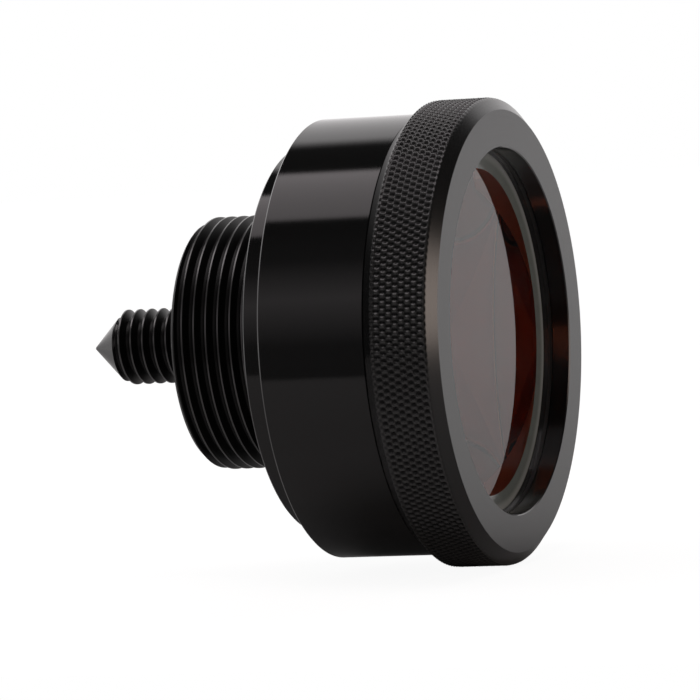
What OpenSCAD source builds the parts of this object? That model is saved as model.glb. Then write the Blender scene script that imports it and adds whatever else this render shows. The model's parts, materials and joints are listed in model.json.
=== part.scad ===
// Round survey prism: a glass corner cube in a turned, black anodised canister.
//
// Turned pieces are drawn as half sections. In a section, x is the radius and y is
// the distance behind the retaining ring's front face. on_axis() lays a section
// along the optical axis: the glass looks towards -Y, the stud points towards +Y,
// and the origin is on the axis in the plane of the hub's rear seat.

/* [Prism] */
// Diameter of the glass prism's ground rim
glass_d = 27; // [26.6:0.1:27.2]
// Diameter of the round window inside the front seal
window_d = 25.7; // [24.8:0.1:25.8]
// Height of the prism from its front face to its rear corner
glass_h = 19.3; // [19.1:0.1:19.5]
// Distance of the glass behind the ring's front face
glass_set_back = 2.3; // [2.1:0.1:2.4]
// Turn of the prism about the optical axis, in degrees
prism_turn = 5; // [0:5:120]

/* [Retaining ring] */
// Diameter over the knurled band
ring_d = 36.5; // [36:0.1:38]
// Diameter of the flat front face, inside the front bevel
ring_face_d = 34.5; // [34:0.1:35]
// Diameter of the front opening
ring_bore_d = 28.6; // [28.2:0.1:29]
// Length of the ring along the axis
ring_l = 5.9; // [5.6:0.1:6.4]
// Length of the front bevel along the axis
front_bevel_l = 0.8; // [0.5:0.1:1]
// Length of the rear bevel along the axis
rear_bevel_l = 0.9; // [0.5:0.1:1.2]
// Thickness of the lip behind the front face
ring_lip_l = 1.5; // [1.3:0.05:1.5]
// Diameter of the thread that the ring screws onto
ring_thread_d = 32; // [31.9:0.1:32.4]

/* [Housing] */
// Outer diameter of the housing tube
body_d = 34.5; // [34.2:0.1:35]
// Distance from the ring's front face to the housing's rear face
body_rear = 14.6; // [14.4:0.1:16]
// Bore around the centring ring
body_bore_d = 28; // [27.9:0.1:28.2]

/* [Rear hub] */
// Diameter of the thread that holds the hub in the housing
hub_thread_d = 29; // [28.9:0.1:29.2]
// Diameter of the step behind the housing
step_d = 30.3; // [29.8:0.1:32]
// Length of the step
step_l = 2; // [1.5:0.1:3]
// Thread diameter of the mounting boss
boss_d = 20; // [19:0.5:24]
// Pitch of the boss thread
boss_pitch = 1; // [0.75:0.25:1]
// Length of the boss behind the step
boss_l = 8.2; // [8:0.1:10]
// Length of the thread relief next to the seat
relief_l = 0.9; // [0.7:0.1:1.2]

/* [Stud] */
// Thread diameter of the pointed stud
stud_d = 6; // [5:0.5:6]
// Pitch of the stud thread
stud_pitch = 1; // [0.75:0.25:1]
// Distance that the point stands out of the boss
stud_out = 10.4; // [8:0.1:14]

/* [Fits] */
// Radial gap between pieces that turn or slide on each other
running_gap = 0.05; // [0.03:0.01:0.1]
// Thickness of the copper and of the lacquer behind the glass
film_t = 0.06; // [0.05:0.01:0.08]

/* [Hidden] */
$fn = 96;

// ISO metric thread form, as shares of the pitch
crest_share = 1 / 8;
root_share = 1 / 4;
depth_share = 0.6134;

// Stations along the axis, behind the ring's front face
washer_t = 0.3;
seal_front = ring_lip_l + washer_t;
glass_front = glass_set_back;
glass_corner = glass_front + glass_h;
body_front = glass_front + 0.2;
body_shoulder = ring_l + 0.05;
hub_front = body_rear - 2.3;
hub_seat = body_rear + step_l;
hub_rear = hub_seat + boss_l;
stud_inner = glass_corner + 0.45;
stud_tip = hub_rear + stud_out;

// Radii
glass_r = glass_d / 2;
seal_pocket_r = 15.5;
spigot_r = ring_thread_d / 2;
body_bore_r = body_bore_d / 2;
hub_thread_r = hub_thread_d / 2;
stud_root_r = stud_d / 2 - depth_share * stud_pitch;
stud_pitch_r = stud_d / 2 - depth_share * stud_pitch / 2;

// Small shapes
edge_break = 0.15;
glass_bevel = 0.3;
o_ring_t = 0.8;
o_ring_groove_l = 1;
cushion_t = 0.9;
film_gap = 0.15;
pad_angle = 14;

// Slope of a cube's edges seen from its corner: radius for each step along the axis
corner_slope = sqrt(2);
// Tilt that stands a cube on its corner
corner_tilt = atan(sqrt(2));
// Axial shift that thickens each face of the corner by one film
film_shift = film_t * sqrt(3);

// ---- Helpers ----

module on_axis() {
    translate([0, -hub_seat, 0]) rotate([-90, 0, 0]) children();
}

module turned(section) {
    on_axis() rotate_extrude() polygon(section);
}

// Section points of thread ridges from one station to another, ending on a crest
function ridges(r, pitch, from, to) =
    let(
        count = floor((to - from) / pitch),
        crest = crest_share * pitch,
        flank = (1 - crest_share - root_share) * pitch / 2,
        root_r = r - depth_share * pitch
    )
    [for (i = [0:count - 1])
        let(s = from + i * pitch)
        each [
            [r, s], [r, s + crest],
            [root_r, s + crest + flank], [root_r, s + pitch - flank]
        ]
    ];

// Solid behind a cube's corner at station tip, which opens towards the front
module corner(tip) {
    translate([0, 0, tip]) mirror([0, 0, 1]) rotate([0, 0, prism_turn])
        rotate([0, -corner_tilt, 0]) rotate([0, 0, -45])
            cube(2 * glass_d);
}

// What lies behind the prism's rim, down to a corner moved back by shift
module corner_in_rim(shift) {
    on_axis() intersection() {
        translate([0, 0, glass_front]) cylinder(r = glass_r, h = glass_h + 1);
        corner(glass_corner + shift);
    }
}

module o_ring(r, station) {
    on_axis() rotate_extrude() translate([r, station]) circle(d = o_ring_t);
}

// ---- Front: ring, washer and seal ----

module retaining_ring() {
    face_r = ring_face_d / 2;
    bore_r = ring_bore_d / 2;
    outer_r = ring_d / 2;
    thread_r = spigot_r + running_gap;
    color("#242426") turned([
        [bore_r, edge_break], [bore_r + edge_break, 0],
        [face_r, 0], [outer_r, front_bevel_l],
        [outer_r, ring_l - rear_bevel_l], [face_r + edge_break, ring_l],
        [thread_r + 0.3, ring_l], [thread_r, ring_l - 0.3],
        [thread_r, seal_front + 0.6], [seal_pocket_r + running_gap, seal_front + 0.6],
        [seal_pocket_r + running_gap, ring_lip_l], [bore_r, ring_lip_l]
    ]);
}

module slip_washer() {
    color("#303030") turned([
        [ring_bore_d / 2 + 0.02, ring_lip_l], [seal_pocket_r, ring_lip_l],
        [seal_pocket_r, seal_front], [ring_bore_d / 2 + 0.02, seal_front]
    ]);
}

module front_seal() {
    rim_r = glass_r + running_gap;
    color("#8c9890") turned([
        [window_d / 2, glass_front - 0.03], [ring_bore_d / 2, seal_front],
        [seal_pocket_r, seal_front], [seal_pocket_r, body_front],
        [rim_r, body_front], [rim_r, glass_front], [window_d / 2, glass_front]
    ]);
}

// ---- Prism and what bears on it ----

module corner_prism() {
    color([0.72, 0.82, 0.86, 0.5]) intersection() {
        corner_in_rim(0);
        turned([
            [0, glass_front], [glass_r - glass_bevel, glass_front],
            [glass_r, glass_front + glass_bevel], [glass_r, glass_corner + 1],
            [0, glass_corner + 1]
        ]);
    }
}

module film(inner_shift) {
    difference() {
        corner_in_rim(inner_shift + film_shift);
        corner_in_rim(inner_shift);
        turned([
            [0, glass_front - 1], [glass_r + 1, glass_front - 1],
            [glass_r + 1, glass_front + 1], [0, glass_front + 1]
        ]);
    }
}

module copper_coating() {
    color("#b46a3c") film(0);
}

module protective_lacquer() {
    color("#3a1d16") film(film_shift);
}

module centring_ring() {
    inner_r = glass_r + running_gap;
    outer_r = body_bore_r - 0.02;
    front = body_front + 1;
    rear = hub_front - 0.6;
    color("#2c2c2c") turned([
        [inner_r, front], [outer_r, front], [outer_r, rear], [inner_r, rear]
    ]);
}

module bonding_pads() {
    inner_r = glass_r + 0.01;
    front = body_front + 0.1;
    rear = front + 0.85;
    color("#c9c9c2") for (i = [0:2]) {
        on_axis() rotate([0, 0, prism_turn + 120 * i - pad_angle / 2])
            rotate_extrude(angle = pad_angle) polygon([
                [inner_r, front + 0.3], [body_bore_r - 0.02, front + 0.3],
                [body_bore_r - 0.02, rear], [inner_r, rear]
            ]);
    }
}

module rear_cushion() {
    front = hub_front + 2.2;
    rear = front + 2.4;
    front_r = corner_slope * (glass_corner + 2 * film_shift - front) + film_gap;
    rear_r = corner_slope * (glass_corner + 2 * film_shift - rear) + film_gap;
    color("#1e1e1e") turned([
        [front_r, front], [front_r + cushion_t, front],
        [rear_r + cushion_t, rear], [rear_r, rear]
    ]);
}

// ---- Housing ----

module housing() {
    body_r = body_d / 2;
    groove_r = spigot_r - o_ring_t - 0.05;
    groove_front = body_shoulder - o_ring_groove_l;
    hub_hole_r = hub_thread_r + 0.02;
    color("#1f1f21") turned([
        [body_bore_r, body_front], [spigot_r - 0.3, body_front],
        [spigot_r, body_front + 0.3], [spigot_r, groove_front],
        [groove_r, groove_front], [groove_r, body_shoulder],
        [body_r - edge_break, body_shoulder], [body_r, body_shoulder + edge_break],
        [body_r, body_rear - edge_break], [body_r - edge_break, body_rear],
        [hub_hole_r + 0.2, body_rear], [hub_hole_r, body_rear - 0.2],
        [hub_hole_r, hub_front - 0.3], [body_bore_r, hub_front - 0.3]
    ]);
}

module ring_o_ring() {
    color("#141414") o_ring(spigot_r - o_ring_t / 2 - 0.03, body_shoulder - o_ring_groove_l / 2);
}

// ---- Rear hub and stud ----

module rear_hub() {
    tip = glass_corner + 2 * film_shift;
    cavity_gap = film_gap + cushion_t;
    cushion_front = hub_front + 2.2;
    cushion_rear = cushion_front + 2.4;
    cavity_r = corner_slope * (tip - cushion_front) + cavity_gap;
    bottom_r = corner_slope * (tip - cushion_rear) + cavity_gap;
    mouth_r = corner_slope * (tip - hub_front) + film_gap;
    groove_r = hub_thread_r - o_ring_t - 0.05;
    boss_r = boss_d / 2;
    boss_root_r = boss_r - depth_share * boss_pitch;
    boss_chamfer = 0.3;
    undercut_r = boss_r + 0.3;
    undercut = hub_seat - 0.2;
    color("#1f1f21") difference() {
        turned([
            [mouth_r, hub_front], [hub_thread_r, hub_front],
            [hub_thread_r, body_rear - 0.2 - o_ring_groove_l],
            [groove_r, body_rear - 0.2 - o_ring_groove_l], [groove_r, body_rear - 0.2],
            [hub_thread_r, body_rear - 0.2], [hub_thread_r, body_rear],
            [step_d / 2 - edge_break, body_rear], [step_d / 2, body_rear + edge_break],
            [step_d / 2, hub_seat - edge_break], [step_d / 2 - edge_break, hub_seat],
            [undercut_r, hub_seat], [undercut_r, undercut],
            [boss_root_r, undercut], [boss_root_r, hub_seat + relief_l],
            each ridges(boss_r, boss_pitch, hub_seat + relief_l, hub_rear - boss_chamfer),
            [boss_root_r, hub_rear], [0, hub_rear],
            [0, glass_corner + 0.4], [0.5, glass_corner + 0.4],
            [bottom_r, cushion_rear], [cavity_r, cushion_front]
        ]);
        on_axis() translate([0, 0, stud_inner - 1])
            cylinder(r = stud_pitch_r + 0.02, h = hub_rear - stud_inner + 2);
    }
}

module hub_o_ring() {
    color("#141414") o_ring(hub_thread_r - o_ring_t / 2 - 0.03, body_rear - 0.2 - o_ring_groove_l / 2);
}

// The stretch inside the hub is drawn at the thread's pitch radius
module pointed_stud() {
    socket_w = 3;
    socket_l = 2;
    cone_start = stud_tip - stud_root_r;
    color("#232325") difference() {
        turned([
            [0, stud_inner], [stud_pitch_r, stud_inner], [stud_pitch_r, hub_rear],
            [stud_root_r, hub_rear],
            each ridges(stud_d / 2, stud_pitch, hub_rear + 0.25, cone_start),
            [stud_root_r, cone_start], [0, stud_tip]
        ]);
        on_axis() translate([0, 0, stud_inner - 1])
            cylinder(d = socket_w / cos(30), h = socket_l + 1, $fn = 6);
    }
}

retaining_ring();
slip_washer();
front_seal();
corner_prism();
copper_coating();
protective_lacquer();
bonding_pads();
centring_ring();
rear_cushion();
housing();
ring_o_ring();
rear_hub();
hub_o_ring();
pointed_stud();
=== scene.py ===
"""Looks of the survey prism: a glass corner cube in a black anodised canister."""
import json
import math

import bmesh
import bpy
import numpy as np
from mathutils import Matrix, Vector


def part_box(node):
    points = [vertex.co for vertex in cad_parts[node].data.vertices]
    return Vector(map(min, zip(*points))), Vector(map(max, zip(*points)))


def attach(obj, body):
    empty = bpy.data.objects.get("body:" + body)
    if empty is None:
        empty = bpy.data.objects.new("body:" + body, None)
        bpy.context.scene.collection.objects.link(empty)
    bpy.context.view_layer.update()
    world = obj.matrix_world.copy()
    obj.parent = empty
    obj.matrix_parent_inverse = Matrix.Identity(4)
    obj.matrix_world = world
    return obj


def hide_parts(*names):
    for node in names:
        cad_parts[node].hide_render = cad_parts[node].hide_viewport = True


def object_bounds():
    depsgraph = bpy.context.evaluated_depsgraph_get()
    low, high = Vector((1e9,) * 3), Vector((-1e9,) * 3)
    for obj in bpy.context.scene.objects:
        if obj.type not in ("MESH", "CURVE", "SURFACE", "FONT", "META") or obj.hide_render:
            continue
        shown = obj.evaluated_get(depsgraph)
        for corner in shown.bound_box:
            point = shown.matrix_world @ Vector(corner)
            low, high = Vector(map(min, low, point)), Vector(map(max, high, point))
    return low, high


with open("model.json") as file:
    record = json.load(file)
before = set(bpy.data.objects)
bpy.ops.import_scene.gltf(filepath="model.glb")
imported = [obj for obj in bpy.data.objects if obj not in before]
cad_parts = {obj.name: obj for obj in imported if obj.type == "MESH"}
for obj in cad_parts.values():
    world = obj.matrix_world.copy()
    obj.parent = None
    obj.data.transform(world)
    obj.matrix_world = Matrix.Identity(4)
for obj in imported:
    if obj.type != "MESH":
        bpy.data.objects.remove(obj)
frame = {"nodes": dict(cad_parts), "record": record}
cad_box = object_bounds()

MM = 0.001

# ---------------------------------------------------------------- dimensions
# Millimetres. Stations are measured behind the retaining ring's front face and radii from
# the optical axis, which is the frame's Y axis. The CAD boxes give all but the small details.

FRONT_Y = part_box("retaining_ring")[0].y
SEAT = -FRONT_Y / MM


def reach(node):
    """Front station, rear station and outer radius of a CAD node, in millimetres."""
    low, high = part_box(node)
    return (low.y - FRONT_Y) / MM, (high.y - FRONT_Y) / MM, high.z / MM


_, RING_REAR, RING_R = reach("retaining_ring")
WASHER_FRONT, SEAL_FRONT, SEAL_POCKET_R = reach("slip_washer")
_, BODY_FRONT, _ = reach("front_seal")
GLASS_FRONT, GLASS_CORNER, GLASS_R = reach("corner_prism")
_, BODY_REAR, BODY_R = reach("housing")
HUB_FRONT, HUB_REAR, STEP_R = reach("rear_hub")
_, STUD_TIP, STUD_R = reach("pointed_stud")

# an O-ring lies this far under the major radius of the thread it seals
O_RING_SUNK = 0.03
SPIGOT_R = reach("ring_o_ring")[2] + O_RING_SUNK
HUB_THREAD_R = reach("hub_o_ring")[2] + O_RING_SUNK

# retaining ring
RING_FACE_R = 17.25
RING_BORE_R = 14.3
RING_TAIL_R = 17.4
FRONT_BEVEL = 0.8
REAR_BEVEL = 0.9
RING_THREAD_FRONT = 3.1
RING_PITCH = 0.75
THREAD_GAP = 0.06

# knurl: cells round the ring, rise from tip to tip along it, groove depth, station of a row of
# tips, and mesh steps in a cell
KNURL_CELLS = 198
KNURL_RISE = 1.0
KNURL_DEPTH = 0.19
KNURL_TIPS = 4.61
KNURL_FINE = 10

# glass, seal and housing
WINDOW_R = 12.85
PRISM_TURN = 35.0
SEAL_LIP_R = WINDOW_R - 0.07
SEAL_CREST_R = 13.55
BODY_BORE_R = 14.0
O_RING_GROOVE = 1.0

# boss and stud
BOSS_R = frame["record"]["mounts"][1]["dims"]["r_mm"]
BOSS_RELIEF = 0.55
BOSS_CHAMFER_R = 9.45
THREAD_PITCH = 1.0
THREAD_DEPTH = 0.6134

# chamfer on the body's edges, and faces round a turned piece
EDGE = 0.13
COLUMNS = 256

# material slots of the faces that don't take a piece's first material
KNURL_SLOT, REAR_SLOT, BORE_SLOT = 1, 2, 3
CREST_SLOT, FLANK_SLOT = 1, 2
RIM_SLOT, MIRROR_SLOT, BEVEL_SLOT = 1, 2, 3


# ---------------------------------------------------------------- mesh tools


def new_object(name, verts, faces):
    """A mesh from these points, welded, with its normals outwards."""
    weld = 1e-7
    mesh = bpy.data.meshes.new(name)
    mesh.from_pydata([Vector(v) for v in verts], [], faces)
    work = bmesh.new()
    work.from_mesh(mesh)
    bmesh.ops.remove_doubles(work, verts=work.verts, dist=weld)
    bmesh.ops.dissolve_degenerate(work, edges=work.edges, dist=weld)
    bmesh.ops.recalc_face_normals(work, faces=work.faces)
    if work.calc_volume(signed=True) < 0:
        bmesh.ops.reverse_faces(work, faces=work.faces)
    work.to_mesh(mesh)
    work.free()
    piece = bpy.data.objects.new(name, mesh)
    bpy.context.scene.collection.objects.link(piece)
    return piece


def smooth(piece, angle=24):
    """Smooth shading that keeps the edges sharper than this angle, in degrees."""
    mesh = piece.data
    mesh.shade_smooth()
    mesh.set_sharp_from_angle(angle=math.radians(angle))
    return piece


def at(radius, angle, station):
    """A point in the frame, in metres. The angle runs from +Z towards +X, right-handed about +Y."""
    return (
        radius * MM * math.sin(angle),
        (station - SEAT) * MM,
        radius * MM * math.cos(angle),
    )


def revolve(name, columns, closed=True, block=None):
    """Skins a list of columns, each a list of (radius, station), round the axis.

    block is (first row, last row, shift): rows in it step along by shift over one turn, as a
    thread's rows do.
    """
    count = len(columns)
    rows = len(columns[0])
    verts = [
        at(r, 2 * math.pi * c / count, s)
        for c, column in enumerate(columns)
        for r, s in column
    ]

    def seam(row):
        if block and block[0] <= row <= block[1]:
            return min(row + block[2], block[1])
        return row

    faces = []
    pairs = [(i, i + 1) for i in range(rows - 1)] + ([(rows - 1, 0)] if closed else [])
    for c in range(count):
        for a, b in pairs:
            if c < count - 1:
                quad = [c * rows + a, c * rows + b, (c + 1) * rows + b, (c + 1) * rows + a]
            else:
                quad = [c * rows + a, c * rows + b, seam(b), seam(a)]
            faces.append(quad)
    return new_object(name, verts, faces)


def radius_station(face):
    """Where a face's middle is, as (radius, station)."""
    x, y, z = face.center
    return math.hypot(x, z) / MM, y / MM + SEAT


def rounded(points, radius, steps=1):
    """Points of an open section with its corners rounded to about this radius.

    One step makes a flat chamfer, so that smooth shading doesn't bend the long faces beside it.
    """
    most = 0.45  # share of a side that one corner may take
    out = [points[0]]
    for before, corner, after in zip(points, points[1:], points[2:]):
        here = np.array(corner)
        back = np.array(before) - here
        ahead = np.array(after) - here
        cut = min(radius, most * np.linalg.norm(back), most * np.linalg.norm(ahead))
        start = here + back / np.linalg.norm(back) * cut
        end = here + ahead / np.linalg.norm(ahead) * cut
        for k in range(steps + 1):
            t = k / steps
            bend = (1 - t) ** 2 * start + 2 * t * (1 - t) * here + t**2 * end
            out.append(tuple(bend))
    out.append(points[-1])
    return out


# ISO thread form: share of the pitch along the axis, share of the pitch in depth
THREAD_FORM = [
    (0.000, 0.020), (0.020, 0.000), (0.125, 0.000), (0.145, 0.020), (0.270, 0.290),
    (0.400, 0.555), (0.440, 0.600), (0.500, 0.613), (0.625, 0.613), (0.685, 0.600),
    (0.725, 0.555), (0.865, 0.290),
]


def thread_columns(before, after, major_r, pitch, start, end, limit, origin, inside=False):
    """Columns of a section whose middle is a right-handed thread from start to end.

    limit(station) gives the radius that chamfers and run-outs leave, and origin a station where
    a crest begins above the axis. inside makes a nut's thread.
    """
    first_turn = math.floor((start - origin) / pitch) - 2
    last_turn = math.ceil((end - origin) / pitch) + 1
    columns = []
    for c in range(COLUMNS):
        rows = []
        for turn in range(first_turn, last_turn):
            for share, depth in THREAD_FORM:
                station = origin + pitch * (turn + share + c / COLUMNS)
                kept = min(max(station, start), end)
                r = limit(kept)
                if station == kept:
                    cut = major_r - depth * pitch
                    r = max(cut, r) if inside else min(cut, r)
                rows.append((r, kept))
        columns.append(list(before) + rows + list(after))
    first = len(before)
    last = first + len(columns[0]) - len(before) - len(after) - 1
    return columns, (first, last, len(THREAD_FORM))


def mark_thread(piece, major_r, start, end):
    """Gives a thread's crests one material slot and its flanks and root another."""
    crest_skin = 0.03
    deepest = 0.7
    for face in piece.data.polygons:
        r, s = radius_station(face)
        if start < s < end and r > major_r - deepest:
            face.material_index = CREST_SLOT if r > major_r - crest_skin else FLANK_SLOT


# ---------------------------------------------------------------- materials


def material(name):
    """A new node material, its nodes and links, and its main shader."""
    mat = bpy.data.materials.new(name)
    mat.use_nodes = True
    nodes = mat.node_tree.nodes
    return mat, nodes, mat.node_tree.links, nodes["Principled BSDF"]


def set_inputs(shader, **values):
    for key, value in values.items():
        shader.inputs[key.replace("_", " ")].default_value = value


def math_node(nodes, links, operation, a, b=None):
    node = nodes.new("ShaderNodeMath")
    node.operation = operation
    for socket, value in zip(node.inputs, (a, b)):
        if value is None:
            continue
        if isinstance(value, (int, float)):
            socket.default_value = value
        else:
            links.new(value, socket)
    return node.outputs[0]


def between(nodes, links, value, low, high):
    """Goes smoothly from 0 to 1 while the value goes from low to high."""
    node = nodes.new("ShaderNodeMapRange")
    node.interpolation_type = "SMOOTHSTEP"
    node.inputs["From Min"].default_value = low
    node.inputs["From Max"].default_value = high
    links.new(value, node.inputs["Value"])
    return node.outputs[0]


def spread_over(nodes, links, value, low, high):
    """Goes straight from low to high while the value goes from 0 to 1."""
    node = nodes.new("ShaderNodeMapRange")
    node.inputs["To Min"].default_value = low
    node.inputs["To Max"].default_value = high
    links.new(value, node.inputs["Value"])
    return node.outputs["Result"]


def blend(nodes, links, factor, first, second):
    """Mixes two colours by a factor. Each is a colour's tuple or another node's output."""
    node = nodes.new("ShaderNodeMix")
    node.data_type = "RGBA"
    links.new(factor, node.inputs["Factor"])
    for key, colour in (("A", first), ("B", second)):
        if isinstance(colour, tuple):
            node.inputs[key].default_value = (*colour, 1)
        else:
            links.new(colour, node.inputs[key])
    return node.outputs["Result"]


def solid_noise(nodes, links, scale, detail):
    """Noise through the piece's volume, from 0 to 1."""
    noise = nodes.new("ShaderNodeTexNoise")
    noise.inputs["Scale"].default_value = scale
    noise.inputs["Detail"].default_value = detail
    links.new(nodes.new("ShaderNodeTexCoord").outputs["Object"], noise.inputs["Vector"])
    return noise.outputs[0]


def lathe_place(nodes, links):
    """Distance from the optical axis and place along it, in metres."""
    where = nodes.new("ShaderNodeTexCoord").outputs["Object"]
    split = nodes.new("ShaderNodeSeparateXYZ")
    links.new(where, split.inputs[0])
    x, y, z = split.outputs
    xx = math_node(nodes, links, "MULTIPLY", x, x)
    zz = math_node(nodes, links, "MULTIPLY", z, z)
    return math_node(nodes, links, "SQRT", math_node(nodes, links, "ADD", xx, zz)), y


def lathe_marks(nodes, links, scale):
    """Noise that varies along a turned surface's section and not round it."""
    r, y = lathe_place(nodes, links)
    noise = nodes.new("ShaderNodeTexNoise")
    noise.noise_dimensions = "1D"
    noise.inputs["Scale"].default_value = scale
    noise.inputs["Detail"].default_value = 3
    links.new(math_node(nodes, links, "ADD", y, r), noise.inputs["W"])
    return noise.outputs[0]


def anodised(name, colour, roughness):
    """Turned, anodised metal: fine lathe marks round the axis under a grainy black coat."""
    mat, nodes, links, shader = material(name)
    set_inputs(shader, IOR=1.62)
    marks = lathe_marks(nodes, links, 9000)
    grain = solid_noise(nodes, links, 2500, 2)
    tone = blend(nodes, links, grain, colour, tuple(1.5 * c for c in colour))
    links.new(tone, shader.inputs["Base Color"])
    rough = spread_over(nodes, links, marks, 0.8 * roughness, 1.2 * roughness)
    links.new(rough, shader.inputs["Roughness"])
    bump = nodes.new("ShaderNodeBump")
    bump.inputs["Strength"].default_value = 0.02
    bump.inputs["Distance"].default_value = 0.0002
    links.new(marks, bump.inputs["Height"])
    links.new(bump.outputs["Normal"], shader.inputs["Normal"])
    return mat


def mottled(name, colour, roughness, scale=1500, spread=0.15, **more):
    """A material whose colour and roughness vary a little over its surface."""
    mat, nodes, links, shader = material(name)
    set_inputs(shader, **more)
    noise = solid_noise(nodes, links, scale, 3)
    darker = tuple(c * (1 - spread) for c in colour)
    lighter = tuple(min(1, c * (1 + spread)) for c in colour)
    links.new(blend(nodes, links, noise, darker, lighter), shader.inputs["Base Color"])
    rough = spread_over(nodes, links, noise, roughness * (1 - spread), roughness * (1 + spread))
    links.new(rough, shader.inputs["Roughness"])
    return mat


def worn_knurl_with_pit_shade():
    """Anodised knurl: the tips are lighter and shinier from wear; the pits between them get painted
    shade, black and less specular.
    """
    pit_r, tip_r = RING_R - 0.15, RING_R - 0.03
    mat = mottled("anodised_knurl", (0.003, 0.003, 0.003), 0.25, 4000, IOR=1.62)
    nodes, links = mat.node_tree.nodes, mat.node_tree.links
    shader = nodes["Principled BSDF"]
    pits = shader.inputs["Base Color"].links[0].from_socket
    r, _ = lathe_place(nodes, links)
    # painted shade: the pits are darker and less specular than the worn tips, for the shade in the
    # grooves
    tip = between(nodes, links, r, pit_r * MM, tip_r * MM)
    tone = blend(nodes, links, tip, pits, (0.028, 0.028, 0.027))
    links.new(tone, shader.inputs["Base Color"])
    tip_shine_and_pit_shade = math_node(nodes, links, "MULTIPLY", tip, 0.6)
    links.new(math_node(nodes, links, "ADD", tip_shine_and_pit_shade, 0.2), shader.inputs["Specular IOR Level"])
    return mat


def clear_silicone():
    """Grey seal: a pale band of painted light where light comes through it, then a painted shadow
    under the ring's lip.
    """
    # radii in mm of the painted light band and of the painted shadow under the ring's lip
    painted_light_from, painted_light_to = 13.4, 13.95
    shade_from, shade_to = 14.06, 14.24
    mat = mottled("seal_silicone", (0.15, 0.17, 0.16), 0.13, 900)
    nodes, links = mat.node_tree.nodes, mat.node_tree.links
    shader = nodes["Principled BSDF"]
    tone = shader.inputs["Base Color"].links[0].from_socket
    r, _ = lathe_place(nodes, links)
    # painted light: the pale band; painted shadow: the dark band under the lip
    pale = between(nodes, links, r, painted_light_from * MM, painted_light_to * MM)
    painted_shadow = between(nodes, links, r, shade_from * MM, shade_to * MM)
    tone = blend(nodes, links, pale, tone, (0.30, 0.32, 0.31))
    tone = blend(nodes, links, painted_shadow, tone, (0.02, 0.02, 0.02))
    links.new(tone, shader.inputs["Base Color"])
    return mat


ring_metal = anodised("anodised_ring", (0.005, 0.005, 0.005), 0.24)
knurl_metal = worn_knurl_with_pit_shade()
body_metal = anodised("anodised_body", (0.004, 0.004, 0.004), 0.075)
bore_metal = anodised("anodised_bore", (0.004, 0.004, 0.004), 0.16)
worn_metal = mottled("worn_anodised", (0.17, 0.17, 0.17), 0.3, 2500, Metallic=1.0)
thread_metal = mottled("thread_flanks", (0.005, 0.005, 0.005), 0.36, 3000, IOR=1.32)
stud_metal = anodised("black_steel", (0.006, 0.006, 0.006), 0.2)
clear_glass = mottled(
    "optical_glass", (0.995, 1.0, 0.998), 0.0, 300, 0.003, IOR=1.517, Transmission_Weight=1.0
)
copper_mirror = mottled("copper_mirror", (0.85, 0.42, 0.28), 0.03, 400, 0.03, Metallic=1.0)
ground_rim = mottled("ground_rim", (0.40, 0.105, 0.04), 0.6, 6000)
ground_bevel = mottled("ground_bevel", (0.75, 0.68, 0.64), 0.6, 6000)
silicone = clear_silicone()
adhesive = mottled("white_silicone", (0.55, 0.55, 0.52), 0.4, 900)
lacquer = mottled("copper_lacquer", (0.12, 0.05, 0.04), 0.2, 700)
rubber = mottled("black_rubber", (0.012, 0.012, 0.012), 0.5, 3000)
acetal = mottled("black_acetal", (0.02, 0.02, 0.02), 0.4, 3000)

inside_materials = {
    "slip_washer": acetal,
    "copper_coating": copper_mirror,
    "protective_lacquer": lacquer,
    "bonding_pads": adhesive,
    "centring_ring": acetal,
    "rear_cushion": rubber,
    "ring_o_ring": rubber,
    "hub_o_ring": rubber,
}
for node, mat in inside_materials.items():
    mesh = frame["nodes"][node].data
    mesh.materials.clear()
    mesh.materials.append(mat)


# ---------------------------------------------------------------- camera
# The axis, the frame's up direction and the middle of the ring's front face, as the camera sees
# them: right, down, forward. The last is in millimetres.

AXIS_SEEN = Vector((-0.9366, 0.0389, 0.3484)).normalized()
UP_SEEN = Vector((-0.061, -0.997, -0.052))
FRONT_CENTRE_SEEN = Vector((12.600, -1.484, 448.6)) * MM
FOCAL_LENGTH = 296.5

up_seen = (UP_SEEN - AXIS_SEEN * UP_SEEN.dot(AXIS_SEEN)).normalized()
side_seen = AXIS_SEEN.cross(up_seen)
# rows: right, down and forward of the camera in the frame
to_frame = Matrix((side_seen, AXIS_SEEN, up_seen))
right, down, forward = to_frame.col
front_centre = Vector((0, FRONT_Y, 0))
eye = front_centre - to_frame @ FRONT_CENTRE_SEEN

camera = bpy.data.objects.new("camera", bpy.data.cameras.new("camera"))
bpy.context.scene.collection.objects.link(camera)
camera.data.lens = FOCAL_LENGTH
camera.data.sensor_width = 36
camera.data.clip_start = 0.01
camera.data.clip_end = 50
turn = Matrix((right, -down, -forward)).transposed().to_4x4()
camera.matrix_world = Matrix.Translation(eye) @ turn
bpy.context.scene.camera = camera
bpy.context.scene.view_settings.view_transform = "Standard"


# ---------------------------------------------------------------- pieces


def knurl_depth(around, along):
    """Depth of the crossed grooves, as a share. Round tips sit at whole cells."""
    waves = [math.cos(2 * math.pi * u) for u in (around + along, around - along)]
    return 0.5 - 0.25 * sum(waves)


def knurl_fade(station):
    """How much of the knurl's depth is left towards the two bevels."""
    least, at_bevel, fade_length = 0.3, 0.65, 0.4
    from_bevel = min(station - FRONT_BEVEL, RING_REAR - REAR_BEVEL - station)
    return min(1.0, max(least, at_bevel + from_bevel / fade_length))


def bevel_r(station):
    """Radius that the ring's front and rear bevels leave."""
    front = RING_FACE_R + station * (RING_R - RING_FACE_R) / FRONT_BEVEL
    rear = RING_TAIL_R + (RING_REAR - station) * (RING_R - RING_TAIL_R) / REAR_BEVEL
    return min(front, rear)


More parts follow.
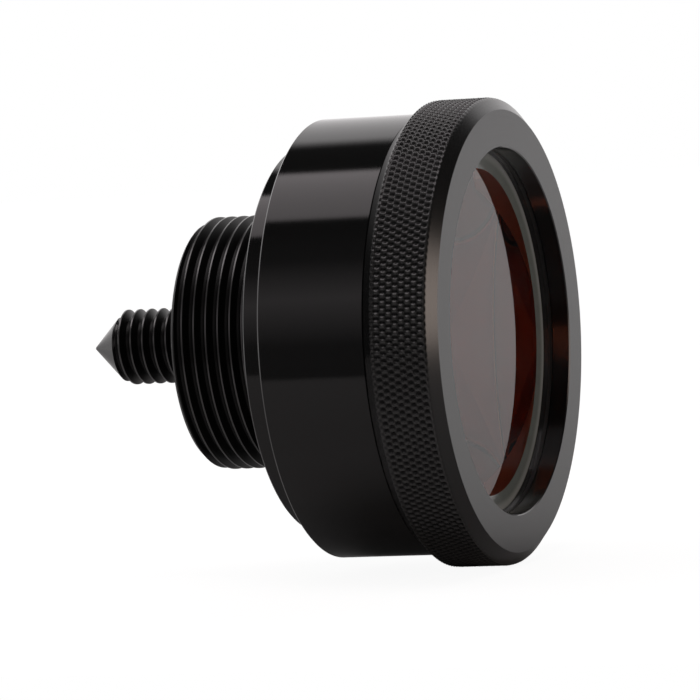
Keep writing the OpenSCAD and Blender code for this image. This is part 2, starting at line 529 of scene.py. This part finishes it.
def mark_ring(piece):
    """Gives the ring's knurl, rear bevel and bore their own material slots."""
    edge, skin = 0.02, 0.004
    deepest_r = RING_TAIL_R - 0.3
    bore_skin_r = RING_BORE_R + 0.05
    for face in piece.data.polygons:
        r, s = radius_station(face)
        cut_in = deepest_r < r < min(RING_R, bevel_r(s)) - skin
        if cut_in and edge < s < RING_REAR - edge:
            face.material_index = KNURL_SLOT
        elif r > RING_TAIL_R and s > RING_REAR - REAR_BEVEL:
            face.material_index = REAR_SLOT
        elif r < bore_skin_r:
            face.material_index = BORE_SLOT


def build_ring():
    """Knurled ring: the grooves run out on both bevels. The bore stops outside the thread."""
    step = KNURL_RISE / KNURL_FINE
    first = KNURL_TIPS % step
    stations = [0.0] + list(np.arange(first, RING_REAR - 0.02, step)) + [RING_REAR]
    bevels = [bevel_r(s) for s in stations]
    pocket_r = SEAL_POCKET_R + 0.05
    core_r = SPIGOT_R + 0.25
    inner = rounded(
        [
            (RING_FACE_R, 0), (RING_BORE_R, 0), (RING_BORE_R, WASHER_FRONT),
            (pocket_r, WASHER_FRONT), (pocket_r, RING_THREAD_FRONT),
            (core_r, RING_THREAD_FRONT), (core_r, RING_REAR), (RING_TAIL_R, RING_REAR),
        ],
        0.08,
    )
    inner = list(reversed(inner))[1:-1]
    cell = [
        [knurl_depth(c / KNURL_FINE, (s - KNURL_TIPS) / KNURL_RISE) for s in stations]
        for c in range(KNURL_FINE)
    ]
    sections = []
    for c in range(KNURL_CELLS * KNURL_FINE):
        depths = cell[c % KNURL_FINE]
        band = [
            (min(RING_R - KNURL_DEPTH * knurl_fade(s) * depth, bevel), s)
            for s, depth, bevel in zip(stations, depths, bevels)
        ]
        sections.append(band + inner)
    piece = smooth(revolve("knurled_ring", sections), 38)
    mark_ring(piece)
    return piece


def build_ring_thread():
    """The ring's own thread, which follows the housing's at a small gap."""
    back_r = SPIGOT_R + 0.3
    crest_r = SPIGOT_R - 0.45
    mouth_r = SPIGOT_R + 0.22
    start, end = RING_THREAD_FRONT, RING_REAR - 0.02

    def limit(s):
        return max(crest_r, mouth_r - (s - RING_THREAD_FRONT), mouth_r - (RING_REAR - s))

    columns, block = thread_columns(
        [(back_r, start)], [(back_r, end)], SPIGOT_R - 0.03 + THREAD_GAP, RING_PITCH,
        start, end, limit, BODY_FRONT, inside=True,
    )
    return smooth(revolve("ring_thread", columns, True, block))


def build_hub():
    """Hub: a cup in the housing, a step behind it, the threaded boss and the stud's hole."""
    boss_root = BOSS_R - THREAD_DEPTH * THREAD_PITCH
    relief_end = SEAT + BOSS_RELIEF
    crest_start = relief_end - 0.29
    cup_r, floor_r, cup_depth = 13.4, 4.0, 7
    hole_r, hole_depth, countersink = 2.7, 2, 0.5

    def limit(s):
        return min(BOSS_R, boss_root + (s - relief_end), BOSS_CHAMFER_R + (HUB_REAR - s))

    before = rounded(
        [
            (floor_r, HUB_FRONT + cup_depth), (cup_r, HUB_FRONT), (HUB_THREAD_R, HUB_FRONT),
            (HUB_THREAD_R, BODY_REAR), (STEP_R, BODY_REAR), (STEP_R, SEAT),
            (boss_root, SEAT), (boss_root, relief_end),
        ],
        0.12,
    )
    after = [
        (BOSS_CHAMFER_R, HUB_REAR), (hole_r + countersink, HUB_REAR),
        (hole_r, HUB_REAR - countersink), (hole_r, HUB_REAR - hole_depth),
    ]
    columns, block = thread_columns(
        before, after, BOSS_R, THREAD_PITCH, relief_end, HUB_REAR, limit, crest_start
    )
    piece = smooth(revolve("mounting_hub", columns, True, block))
    mark_thread(piece, BOSS_R, relief_end, HUB_REAR - 0.02)
    return piece


def build_stud():
    """Threaded stud whose end is turned to a cone of 45 degrees a side."""
    start = HUB_REAR - 1.5
    crest_start = HUB_REAR + 0.28
    core_r = 2.3
    tip_flat = 0.12

    def limit(s):
        return min(STUD_R, STUD_TIP - s)

    before = [(0, start), (core_r, start)]
    after = [(0, STUD_TIP - tip_flat / 2)]
    columns, block = thread_columns(
        before, after, STUD_R, THREAD_PITCH, start, STUD_TIP - tip_flat, limit, crest_start
    )
    piece = smooth(revolve("threaded_point", columns, False, block))
    mark_thread(piece, STUD_R, start, STUD_TIP - STUD_R + 0.3)
    return piece


def build_housing():
    """Tube with a threaded spigot, an O-ring groove behind it and a chamfered rear edge."""
    major_r = SPIGOT_R - 0.03
    lead_r = SPIGOT_R - 0.4
    run_out_r = SPIGOT_R - 0.3
    groove_r = SPIGOT_R - 0.85
    hole_r = HUB_THREAD_R + 0.02
    hole_front = HUB_FRONT - 0.3
    shoulder = RING_REAR + 0.05
    start, end = BODY_FRONT, shoulder - O_RING_GROOVE

    def limit(s):
        return min(major_r, lead_r + (s - start), run_out_r + (end - s))

    after = rounded(
        [
            (run_out_r, end), (groove_r, end), (groove_r, shoulder), (BODY_R, shoulder),
            (BODY_R, BODY_REAR), (hole_r, BODY_REAR), (hole_r, hole_front),
            (BODY_BORE_R, hole_front), (BODY_BORE_R, BODY_FRONT), (lead_r, start),
        ],
        EDGE,
    )[1:-1]
    columns, block = thread_columns([], after, major_r, RING_PITCH, start, end, limit, BODY_FRONT)
    return smooth(revolve("canister_tube", columns, True, block))


def build_seal():
    """Silicone seal: flat under the ring's lip, then it slopes down to the glass."""
    rim_r = GLASS_R + 0.05
    lip = rounded(
        [
            (SEAL_LIP_R, GLASS_FRONT - 0.01), (SEAL_CREST_R, SEAL_FRONT + 0.39),
            (RING_BORE_R, SEAL_FRONT + 0.36),
        ],
        0.15,
        6,
    )
    section = lip + [
        (RING_BORE_R + 0.04, SEAL_FRONT), (SEAL_POCKET_R, SEAL_FRONT),
        (SEAL_POCKET_R, BODY_FRONT), (rim_r, BODY_FRONT), (rim_r, GLASS_FRONT),
        (SEAL_LIP_R, GLASS_FRONT),
    ]
    return smooth(revolve("window_seal", [section] * COLUMNS), 28)


def mark_prism(piece):
    """Gives the prism's back faces, bevel and ground rim their own material slots."""
    behind_front = (GLASS_FRONT + 1 - SEAT) * MM
    for face in piece.data.polygons:
        if len(face.vertices) > 4:
            if face.center.y > behind_front:
                face.material_index = MIRROR_SLOT
        elif abs(face.normal.y) < 0.1:
            face.material_index = RIM_SLOT
        else:
            face.material_index = BEVEL_SLOT


def build_prism(turn_deg):
    """Corner cube inside a round rim: flat front, bevel, ground rim, three mirror faces."""
    bevel = 0.18
    count = 288
    tip = GLASS_CORNER - 0.02
    mids = [math.radians(turn_deg + 60 + 120 * k) for k in range(3)]
    verts = []
    faces = []
    for c in range(count):
        angle = 2 * math.pi * c / count
        reach_back = math.sqrt(2) * GLASS_R * max(math.cos(angle - m) for m in mids)
        verts.append(at(GLASS_R - bevel, angle, GLASS_FRONT))
        verts.append(at(GLASS_R, angle, GLASS_FRONT + bevel))
        verts.append(at(GLASS_R, angle, tip - reach_back))
    corner = len(verts)
    verts.append(at(0, 0, tip))
    faces.append([3 * c for c in range(count)])
    for c in range(count):
        n = (c + 1) % count
        faces.append([3 * c, 3 * n, 3 * n + 1, 3 * c + 1])
        faces.append([3 * c + 1, 3 * n + 1, 3 * n + 2, 3 * c + 2])
    for k in range(3):
        first = round((turn_deg + 120 * k) / 360 * count)
        rim = [3 * ((first + i) % count) + 2 for i in range(count // 3 + 1)]
        faces.append([corner] + rim)
    piece = new_object("corner_cube", verts, faces)
    mark_prism(piece)
    return piece


ring = build_ring()
for mat in (ring_metal, knurl_metal, body_metal, bore_metal):
    ring.data.materials.append(mat)
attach(ring, "ring")
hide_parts("retaining_ring")

ring_thread = build_ring_thread()
ring_thread.data.materials.append(ring_metal)
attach(ring_thread, "ring")

hub = build_hub()
for mat in (body_metal, worn_metal, thread_metal):
    hub.data.materials.append(mat)
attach(hub, "root")
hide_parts("rear_hub")

stud = build_stud()
for mat in (stud_metal, worn_metal, thread_metal):
    stud.data.materials.append(mat)
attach(stud, "root")
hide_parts("pointed_stud")

tube = build_housing()
tube.data.materials.append(body_metal)
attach(tube, "root")
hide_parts("housing")

seal = build_seal()
seal.data.materials.append(silicone)
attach(seal, "seal_carrier")
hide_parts("front_seal")

prism = build_prism(PRISM_TURN)
for mat in (clear_glass, ground_rim, copper_mirror, ground_bevel):
    prism.data.materials.append(mat)
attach(prism, "root")
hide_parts("corner_prism")


# ---------------------------------------------------------------- studio

FLOOR_GAP = 0.05


def ramp(nodes, links, value, stops):
    """Level over a value of 0 to 1, straight between the stops."""
    node = nodes.new("ShaderNodeValToRGB")
    elements = node.color_ramp.elements
    while len(elements) < len(stops):
        elements.new(0.5)
    for element, (position, level) in zip(elements, stops):
        element.position = position
        element.color = (level, level, level, 1)
    links.new(value, node.inputs[0])
    return node.outputs[0]


def turn_share(nodes, links, up, across):
    """Angle of (across, up) as a share of a turn, where 0.5 is straight across."""
    angle = math_node(nodes, links, "ARCTAN2", up, across)
    part = math_node(nodes, links, "DIVIDE", angle, 2 * math.pi)
    return math_node(nodes, links, "ADD", part, 0.5)


def degrees(stops):
    """Stops at angles in degrees, on the scale of turn_share."""
    return [(angle / 360 + 0.5, level) for angle, level in stops]


def world_light():
    """A dark room: pale backdrop behind the object, softbox overhead, lamp out in front of it."""
    room_tone = (0.035, 0.035, 0.035)
    softbox_tint = (2.15, 1.98, 2.02)
    backdrop_tint = (1.0, 0.97, 0.975)
    lamp_tint = (3.2, 2.7, 2.4)
    lamp_way = (-0.10, -0.98, 0.15)

    world = bpy.data.worlds.new("studio")
    bpy.context.scene.world = world
    world.use_nodes = True
    nodes, links = world.node_tree.nodes, world.node_tree.links
    nodes.clear()
    direction = nodes.new("ShaderNodeTexCoord").outputs["Generated"]
    split = nodes.new("ShaderNodeSeparateXYZ")
    links.new(direction, split.inputs[0])
    x, y, z = split.outputs
    back_x = math_node(nodes, links, "MULTIPLY", x, -1.0)
    back_y = math_node(nodes, links, "MULTIPLY", y, -1.0)

    # overhead softbox and the faint glow of the room, by the angle round the optical axis
    roll = turn_share(nodes, links, z, back_x)
    overhead = ramp(nodes, links, roll, degrees([
        (-180, 0), (0, 0.02), (24, 0.15), (44, 0.02), (68, 0.0), (69, 0.5), (80, 0.57),
        (90, 0.66), (99, 0.78), (101, 0), (180, 0),
    ]))
    near = between(nodes, links, y, -0.40, -0.20)
    far = between(nodes, links, y, 0.66, 0.54)
    overhead = math_node(nodes, links, "MULTIPLY", overhead, near)
    overhead = math_node(nodes, links, "MULTIPLY", overhead, far)

    # backdrop, by the compass direction
    compass = turn_share(nodes, links, back_y, back_x)
    backdrop = ramp(nodes, links, compass, degrees([
        (-180, 1), (-135, 1), (-110, 0.55), (-85, 0.08), (-60, 0), (151, 0), (160, 0.85), (180, 1),
    ]))
    below_top = between(nodes, links, z, 0.80, 0.70)
    backdrop = math_node(nodes, links, "MULTIPLY", backdrop, below_top)

    # round lamp in front of the glass
    aim = nodes.new("ShaderNodeVectorMath")
    aim.operation = "DOT_PRODUCT"
    links.new(direction, aim.inputs[0])
    aim.inputs[1].default_value = lamp_way
    lamp = between(nodes, links, aim.outputs["Value"], 0.930, 0.990)

    light = None
    for level, tint in [(overhead, softbox_tint), (backdrop, backdrop_tint), (lamp, lamp_tint)]:
        part = nodes.new("ShaderNodeVectorMath")
        part.operation = "SCALE"
        part.inputs[0].default_value = tint
        links.new(level, part.inputs["Scale"])
        joined = nodes.new("ShaderNodeVectorMath")
        links.new(part.outputs[0], joined.inputs[0])
        joined.inputs[1].default_value = room_tone
        if light is not None:
            links.new(light, joined.inputs[1])
        light = joined.outputs[0]

    studio = nodes.new("ShaderNodeBackground")
    links.new(light, studio.inputs[0])
    white = nodes.new("ShaderNodeBackground")
    white.inputs[0].default_value = (1, 1, 1, 1)
    path = nodes.new("ShaderNodeLightPath")
    mix = nodes.new("ShaderNodeMixShader")
    links.new(path.outputs["Is Camera Ray"], mix.inputs[0])
    links.new(studio.outputs[0], mix.inputs[1])
    links.new(white.outputs[0], mix.inputs[2])
    out = nodes.new("ShaderNodeOutputWorld")
    links.new(mix.outputs[0], out.inputs[0])


def floor():
    """Pale table, in metres. In reflections it is painted darker, and a painted glow makes it paler
    with distance.
    """
    low = cad_box[0][2] - FLOOR_GAP * MM
    back, front, wide = 1.2, 0.069, 0.8
    albedo, camera_albedo, glossy_albedo = 0.8, 0.2, 0.6
    camera_glow = 0.93
    verts = [(-front, -wide, low), (back, -wide, low), (back, wide, low), (-front, wide, low)]
    sheet = new_object("floor", verts, [[0, 1, 2, 3]])
    mat, nodes, links, shader = material("floor")
    noise = nodes.new("ShaderNodeTexNoise")
    noise.inputs["Scale"].default_value = 30
    path = nodes.new("ShaderNodeLightPath")
    camera_ray, glossy_ray = path.outputs["Is Camera Ray"], path.outputs["Is Glossy Ray"]
    grain = math_node(nodes, links, "MULTIPLY", noise.outputs[0], 0.02)
    tone = math_node(nodes, links, "ADD", grain, albedo)
    # camera rays see a low albedo under the white glow; reflections see painted shade, a darker
    # floor
    for ray, seen_albedo in [(camera_ray, camera_albedo), (glossy_ray, glossy_albedo)]:
        dimmer = math_node(nodes, links, "MULTIPLY", ray, seen_albedo - albedo)
        tone = math_node(nodes, links, "ADD", tone, dimmer)
    links.new(tone, shader.inputs["Base Color"])
    set_inputs(shader, Roughness=1.0, Specular_IOR_Level=0.0)
    shader.inputs["Emission Color"].default_value = (1, 1, 1, 1)
    place = nodes.new("ShaderNodeSeparateXYZ")
    links.new(nodes.new("ShaderNodeTexCoord").outputs["Object"], place.inputs[0])
    distance = place.outputs[0]
    # painted reflection: a glow seen only in reflections, none at or before the object and rising
    # with distance behind it
    far = ramp(nodes, links, distance, [
        (0, 0.0), (0.05, 0.28), (0.1, 0.36), (0.3, 0.48), (0.9, 0.54),
    ])
    painted_reflection_glow = math_node(nodes, links, "MULTIPLY", far, glossy_ray)
    white = math_node(nodes, links, "MULTIPLY", camera_ray, camera_glow)
    links.new(math_node(nodes, links, "ADD", painted_reflection_glow, white), shader.inputs["Emission Strength"])
    sheet.data.materials.append(mat)


world_light()
floor()
